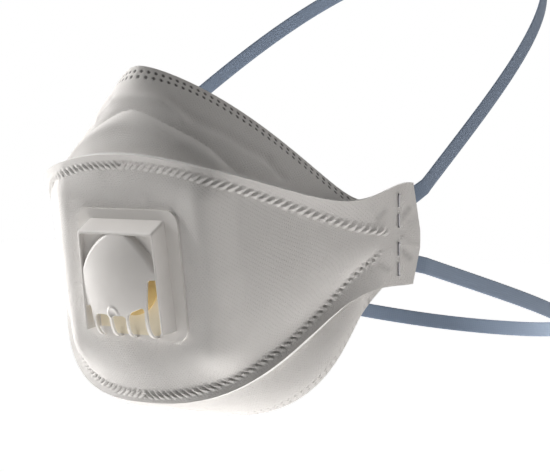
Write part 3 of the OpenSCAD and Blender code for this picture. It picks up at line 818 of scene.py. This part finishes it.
def nose_folds(panel):
    """The folds of the nose panel, the same for each of its layers."""
    fold(panel, MAIN_FOLD, -1.3, 3.0, 1.0, sharp=True)
    fold(panel, [(u, v - BULGE_BELOW) for u, v in MAIN_FOLD], 0.9, 2.4, 3.0)
    fold(panel, UPPER_RIDGE, 0.7, 1.8, 1.6)
    fold(panel, CHEEK_VALLEY, -0.8, 2.6, 2.6)
    fold(panel, CHEEK_LINE, -0.5, 2.0, 1.4)


top_sides = even_sides(NOSE_EDGE, 600)
top = Panel(top_surface, top_sides, spread((0, 52), (0.88, 22), 1))
from_nose_edge, nose_along = top.from_row(1)
dot_weld(top, -from_nose_edge, nose_along, 2.0, 2.1, 2.73, 0.78, 104, depth=0.2, dark=1.0)
nose_folds(top)
web_piece("top_outer_web", top, 0, OUTER_T, outer_finish, "top_panel_outer_cover")
plain_top = Panel(top_surface, even_sides(NOSE_EDGE, 320), spread((0, 66), 1))
nose_folds(plain_top)
# The inner cover stands off the filter over the nose clip
CLIP_LOW, CLIP_HIGH, CLIP_REACH, CLIP_ROOM = 0.74, 0.95, 0.4375, 0.8
pocket = (smooth((plain_top.v - CLIP_LOW) / 0.06) * smooth((CLIP_HIGH - plain_top.v) / 0.05)
          * smooth((CLIP_REACH - np.abs(plain_top.s)) / 0.0625))
web_piece("top_filter_web", plain_top, OUTER_T, OUTER_T + FILTER_T, filter_finish, "top_panel_filter")
over = CLIP_ROOM * pocket
web_piece("top_inner_web", plain_top, OUTER_T + FILTER_T + over, CHEEK_T + over, inner_finish,
          "top_panel_inner_cover")

# Nose foam: half its length, place and half width as shares of the panel, depth of its middle behind
# the skin and half thickness in millimetres, and the share over which its ends round off
FOAM_REACH, FOAM_T, FOAM_HALF, FOAM_DEPTH, FOAM_THICK, FOAM_END = 0.4365, 0.845, 0.1, 3.9, 1.95, 0.03
FOAM_ROUND, FOAM_LEAST = 0.6, 0.985
foam_turn = np.linspace(0, 2 * np.pi, 40, endpoint=False)
foam_s, foam_turn = np.meshgrid(np.linspace(-FOAM_REACH, FOAM_REACH, 121), foam_turn, indexing="ij")
foam_end = np.clip((np.abs(foam_s) - FOAM_REACH + FOAM_END) / FOAM_END, 0, FOAM_LEAST)
foam_size = np.sqrt(1 - foam_end**2)
foam_t = FOAM_T + FOAM_HALF * foam_size**0.5 * squared(np.cos(foam_turn), FOAM_ROUND)
foam_depth = FOAM_DEPTH + FOAM_THICK * foam_size * squared(np.sin(foam_turn), FOAM_ROUND)
STEP = 0.002
foam_skin = top_surface(foam_s, foam_t)
foam_normal = unit(np.cross(top_surface(foam_s + STEP, foam_t) - foam_skin,
                            top_surface(foam_s, foam_t + STEP) - foam_skin))
foam = loft("nose_foam_pad", foam_skin - foam_depth[..., None] * foam_normal, padding_finish, sharp=60)
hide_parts("nose_foam")
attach(foam, "mask")

# Bottom panel
chin = Panel(chin_surface, even_sides(CHIN_EDGE, 640), spread((0, 22), (0.15, 24), 1))
from_chin_edge, chin_along = chin.from_row(0)
dot_weld(chin, from_chin_edge, chin_along, 1.6, 1.7, 2.9, 0.6, 96, depth=0.2, dark=0.22)
web_piece("bottom_outer_web", chin, 0, OUTER_T, outer_finish, "bottom_panel_outer_cover")
plain_chin = Panel(chin_surface, even_sides(CHIN_EDGE, 140), spread((0, 20), 1))
web_piece("bottom_filter_web", plain_chin, OUTER_T, OUTER_T + FILTER_T, filter_finish,
          "bottom_panel_filter")
web_piece("bottom_inner_web", plain_chin, OUTER_T + FILTER_T, CHEEK_T, inner_finish,
          "bottom_panel_inner_cover")

# ---------------------------------------------------------------- the valve

HOOD_W, HOOD_TAPER, HOOD_TOP, HOOD_BOTTOM, HOOD_WALL = 38, 1, 19.9, -19.7, 1.1
HOOD_RISE, HOOD_SLOPE, HOOD_RECESS, HOOD_R = 7.1, 3.5, 2, 0.9
FRONT_LEVEL = SEAT_T + HOOD_RISE
FLOOR_LEVEL = FRONT_LEVEL - HOOD_RECESS
DOME_W, DOME_FLARE, DOME_MID, DOME_HEAD, DOME_STOP, DOME_FOOT = 37.7, 3, -0.2, 17.8, 16.4, -22.7
DOME_PROUD, DOME_ACROSS_R, DOME_CROWN_Y, DOME_SKIN, DOME_FLANK = 2.6, 56, 2, 1.0, 2.0
# The dome falls by the square of the distance above its crown over this
HEAD_FALL = 650
NUB_X, NUB_Y, NUB_R = -3.0, -12.8, 2.2
GLUE_GAP = 0.05

# Windows between the ribs: the left and right edges at the top and at the foot, the top and its slant.
# Those that end at WALL_SIDE run into the hood's walls
WALL_SIDE = 19
WINDOWS = (((-WALL_SIDE, -14.8), (-WALL_SIDE, -16.2), -10.7, 0), ((-13.6, -5.4), (-15.2, -7.9), -13.4, 0),
           ((-4.3, 3.0), (-6.8, -0.3), -13.6, 0), ((4.2, 11.6), (0.8, 9.4), -11.2, 0.38),
           ((14.2, WALL_SIDE), (10.6, WALL_SIDE), -0.2, 0))
WINDOW_R, WALL_WINDOW_R = 1.9, 1.0


def hood_lean(y):
    """How far the hood's sides lean in at y."""
    return HOOD_TAPER * (y - HOOD_BOTTOM) / (HOOD_TOP - HOOD_BOTTOM)


def on_valve(x, y, z):
    """Points in the valve's frame: x across, y up the panel and z off it."""
    x, y, z = np.broadcast_arrays(x, y, z)
    return (VALVE_AT + GLUE_GAP * VALVE_OUT + x[..., None] * np.array([1.0, 0, 0])
            + y[..., None] * VALVE_UP + z[..., None] * VALVE_OUT)


def rail(half, top, bottom, r):
    """The hood's outline, up its one side, round the top and down the other, as (x, y).

    The sides lean in towards the top."""
    turn = np.linspace(0, np.pi / 2, 9)
    rise = np.linspace(bottom, top - r, 20)[:-1]
    left = np.stack([np.full_like(rise, -half), rise], -1)
    corner = np.stack([-half + r - r * np.cos(turn), top - r + r * np.sin(turn)], -1)
    across = np.stack([np.linspace(-half + r, 0, 9)[1:], np.full(8, top)], -1)
    half_way = np.concatenate([left, corner, across])
    whole = np.concatenate([half_way, (half_way * [-1, 1])[-2::-1]])
    lean = hood_lean(whole[:, 1]) * whole[:, 0] / half
    return whole - np.stack([lean, 0 * lean], -1)


# Walls of the hood: their cross-section between the base and front outlines, with a round front edge
wall_side = np.array([0, 0, 0, 0, 0, 0.05, 0.17, 0.35, 0.65, 0.83, 0.95, 1, 1, 1, 1, 1])
rising = [0, 0.3, 0.6, 0.85, 0.93, 0.965, 0.99, 1]
wall_height = np.array(rising + rising[::-1])
outlines = [[rail(HOOD_W / 2 - inset, HOOD_TOP - slope - inset, HOOD_BOTTOM, HOOD_R - inset * 0.3)
             for slope in (0, HOOD_SLOPE)] for inset in (0, HOOD_WALL)]
outlines = np.array(outlines)[:, :, :, None]
base_line = outlines[0, 0] + (outlines[1, 0] - outlines[0, 0]) * wall_side[None, :, None]
front_line = outlines[0, 1] + (outlines[1, 1] - outlines[0, 1]) * wall_side[None, :, None]
wall_xy = base_line + (front_line - base_line) * wall_height[None, :, None]
wall_z = SEAT_T + HOOD_RISE * wall_height[None, :]
walls = loft("valve_hood", on_valve(wall_xy[..., 0], wall_xy[..., 1], wall_z), valve_finish, sharp=50)
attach(walls, "mask")


def dome_half(y):
    """Half width of the dome's outline: an egg's head that runs out to the hood's sides below."""
    t = np.clip((y - DOME_MID) / (DOME_HEAD - DOME_MID), 0, 0.999)
    return DOME_W / 2 * (1 - t**1.5) ** (2 / 3) + DOME_FLARE * smooth((5 - y) / 8)


def dome_height(x, y):
    """Height of the hood's front: a skin that falls from its crown to the flange at the dome's foot
    as (1 - t^2.5)^0.4, and rounds steeply down to the floor at the egg-shaped outline.

    A small round nub, a ring with a dimple in it, stands above a rib."""
    crown = FRONT_LEVEL + DOME_PROUD - DOME_ACROSS_R + np.sqrt(DOME_ACROSS_R**2 - x**2)
    below = np.clip((DOME_CROWN_Y - y) / (DOME_CROWN_Y - DOME_FOOT), 0, 1)
    arc = (1 - below**2.5) ** 0.4 - np.maximum(y - DOME_CROWN_Y, 0) ** 2 / HEAD_FALL
    skin = SEAT_T + (crown - SEAT_T) * arc
    slope = (dome_half(y + 0.05) - dome_half(y - 0.05)) / 0.1
    inside = np.clip((dome_half(y) - np.abs(x)) / np.sqrt(1 + slope**2) / DOME_FLANK, 0, 1)
    round_off = np.sqrt(1 - (1 - inside) ** 2.6)
    low = smooth((DOME_MID + 4 - y) / 4)
    height = FLOOR_LEVEL + (skin - FLOOR_LEVEL) * np.maximum(round_off, low)
    far = np.hypot(x - NUB_X, y - NUB_Y)
    return height + 0.45 * bell(far - NUB_R, 0.55) - 0.5 * bell(far, 1.2)


def window_distance(x, y):
    """Distance to the nearest window, negative inside it: each is a rounded quadrilateral."""
    least = np.full(np.broadcast(x, y).shape, 1e3)
    for upper, lower, top_y, slant in WINDOWS:
        share = np.clip((top_y - y) / (top_y - DOME_FOOT), -0.2, 1)
        left, right_side = (a + (b - a) * share for a, b in zip(upper, lower))
        corner = WALL_WINDOW_R if WALL_SIDE in (upper[1], -upper[0]) else WINDOW_R
        qx = np.abs(x - (left + right_side) / 2) - (right_side - left) / 2 + corner
        qy = y - top_y - slant * (x - (left + right_side) / 2) + corner
        far = np.hypot(np.maximum(qx, 0), np.maximum(qy, 0)) + np.minimum(np.maximum(qx, qy), 0) - corner
        least = np.minimum(least, far)
    return least


def snapped(x, y, keep, distance):
    """Moves the vertices between kept and lost cells onto the line where the distance is 0."""
    near = np.pad(keep.astype(float), 1, mode="edge")
    around = near[:-1, :-1] + near[1:, :-1] + near[:-1, 1:] + near[1:, 1:]
    rim = (around > 0) & (around < 4)
    step = 0.01
    gx = (distance(x + step, y) - distance(x - step, y)) / (2 * step)
    gy = (distance(x, y + step) - distance(x, y - step)) / (2 * step)
    off = np.where(rim, distance(x, y), 0)
    return x - off * gx, y - off * gy


# The dome's grid reaches into the hood's walls, and its rows lie closer towards the foot
front_rows = DOME_FOOT + (DOME_STOP - DOME_FOOT) * np.linspace(0, 1, 181) ** 1.35
front_u, front_y = np.meshgrid(np.linspace(-1, 1, 157), front_rows)
front_x = front_u * (HOOD_W / 2 - HOOD_WALL / 2 - hood_lean(front_y))
cell_x, cell_y = (front_x[:-1, :-1] + front_x[1:, 1:]) / 2, (front_y[:-1, :-1] + front_y[1:, 1:]) / 2
front_keep = window_distance(cell_x, cell_y) > 0
front_x, front_y = snapped(front_x, front_y, front_keep, window_distance)
front_z = dome_height(front_x, front_y)
dome = shell("valve_dome", on_valve(front_x, front_y, front_z),
             on_valve(front_x, front_y, np.maximum(front_z - DOME_SKIN, 0.4)), valve_finish,
             keep=front_keep, sharp=45)
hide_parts("valve_cover")
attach(dome, "mask")

# ---------------------------------------------------------------- headbands

BAND_W, BAND_T, LOOP_REACH = 6.0, 0.8, 165
STAPLE_IN, PAST_TAB, BAND_ROOT, END_GAP, SWING_GAP = 9.3, 1, 2.7, 0.1, 0.4
STACK_T = SEAM_STEP + CHEEK_T


def band_path(staple_z, rise):
    """Middle line of a band, its width directions and where it swings.

    It lies flat behind the tab and then stands on edge round the head."""
    angle = math.atan(math.tan(math.radians(rise)) * TAB_ALONG[1])
    along = math.cos(angle) * TAB_ALONG + math.sin(angle) * np.array([0, 0, 1])
    wide = -math.sin(angle) * TAB_ALONG + math.cos(angle) * np.array([0, 0, 1])
    staple = TAB_AT * [1, 1, 0] + np.array([0, 0, staple_z]) - STAPLE_IN * TAB_ALONG - (
        STACK_T + END_GAP + BAND_T / 2) * TAB_OUT
    reach = (STAPLE_IN + PAST_TAB) / math.cos(angle) + SWING_GAP + BAND_W / 2
    swing = staple + reach * along
    tab_part = staple + np.linspace(-BAND_ROOT, reach, 14)[:-1, None] * along
    t = np.linspace(0, 1, 70)[:, None]
    flat = cubic(*(np.array(p) for p in ([swing[0], 0], [swing[0] * 0.91, LOOP_REACH * 0.45],
                                         [swing[0] * 0.88, LOOP_REACH], [0, LOOP_REACH])), t)
    tilt = math.radians(rise)
    loop = np.stack([flat[:, 0], swing[1] + flat[:, 1] * math.cos(tilt),
                     swing[2] + flat[:, 1] * math.sin(tilt)], -1)
    half = np.concatenate([tab_part, loop])
    on_edge = np.array([0, -math.sin(tilt), math.cos(tilt)])
    share = smooth((length_along(half) - 12) / 10)[:, None]
    width = unit(wide + (on_edge - wide) * share)
    flip = np.array([-1, 1, 1])
    path, wide = (np.concatenate([x, (x * flip)[-2::-1]]) for x in (half, width))
    return path, wide, swing


def headband(name, level, staple_z, rise):
    """A flat elastic band: a rounded rectangle carried along its path, on a cloth map."""
    path, wide, swing = band_path(staple_z, rise)
    thick = unit(np.cross(np.gradient(path, axis=0), wide))
    turn = np.linspace(0, 2 * np.pi, 28, endpoint=False)
    across = squared(np.cos(turn), 0.35) * BAND_W / 2
    deep = squared(np.sin(turn), 0.7) * BAND_T / 2
    rings = path[:, None] + across[None, :, None] * wide[:, None] + deep[None, :, None] * thick[:, None]
    far = np.broadcast_to(length_along(path)[:, None], rings.shape[:2])
    cloth = np.stack([far, np.broadcast_to(across, rings.shape[:2])], -1)
    band = loft(name, rings, band_finish, cloth=cloth, sharp=60)
    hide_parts(f"{level}_headband", f"{level}_left_band_end", f"{level}_right_band_end")
    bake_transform(band)


headband("upper_elastic", "upper", 18.2, 33)
headband("lower_elastic", "lower", 1, -13)

# ---------------------------------------------------------------- finishes of the CAD nodes
finish_of = {"nose_clip": clip_finish, "valve_seat": seat_finish(),
             "flap_root": flap_finish, "valve_flap": flap_finish}
finish_of.update({f"{level}_{side}_staple": staple_finish
                  for level in ("upper", "lower") for side in ("left", "right")})
for node, material in finish_of.items():
    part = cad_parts[node]
    part.data.materials.clear()
    part.data.materials.append(material)
